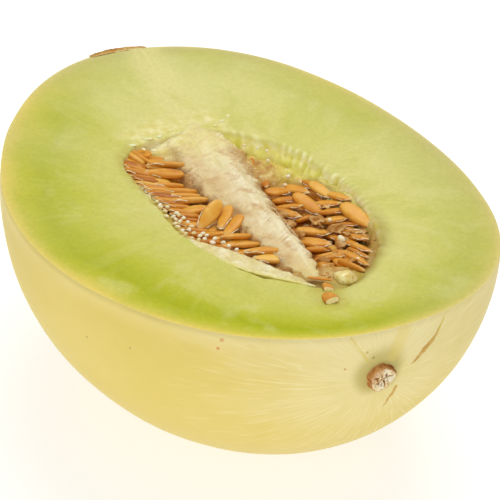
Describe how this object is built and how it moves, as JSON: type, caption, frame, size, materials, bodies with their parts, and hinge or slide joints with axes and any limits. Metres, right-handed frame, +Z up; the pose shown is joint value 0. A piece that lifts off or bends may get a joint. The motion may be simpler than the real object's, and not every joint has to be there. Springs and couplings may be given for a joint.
{
  "type": "honeydew melon half",
  "caption": "Honeydew melon half cut lengthwise, cut face up: pale green flesh in a smooth cream rind, a soft pith ridge with tan seeds on each side, corky scars at the ends.",
  "frame": {"origin": "on the surface the half rests on, under the middle of its bounding box", "axes": "+X along the melon towards its stem end, +Z up out of the cut face, -Y towards the fuller near side"},
  "size_m": [0.1742, 0.1363, 0.0698],
  "materials": {
    "flesh": "moist cut melon flesh, green under a smooth satin cream-yellow rind",
    "pith": "wet, soft, stringy, cream white",
    "seed": "wet tan seed coats with clear membranes",
    "cork": "dry cracked cork, rough and dull"
  },
  "bodies": {
    "root": {"melon_flesh": "flesh", "pith": "pith", "seeds_near": "seed", "seeds_far": "seed", "stem_scar": "cork", "blossom_scar": "cork"}
  },
  "joints": []
}
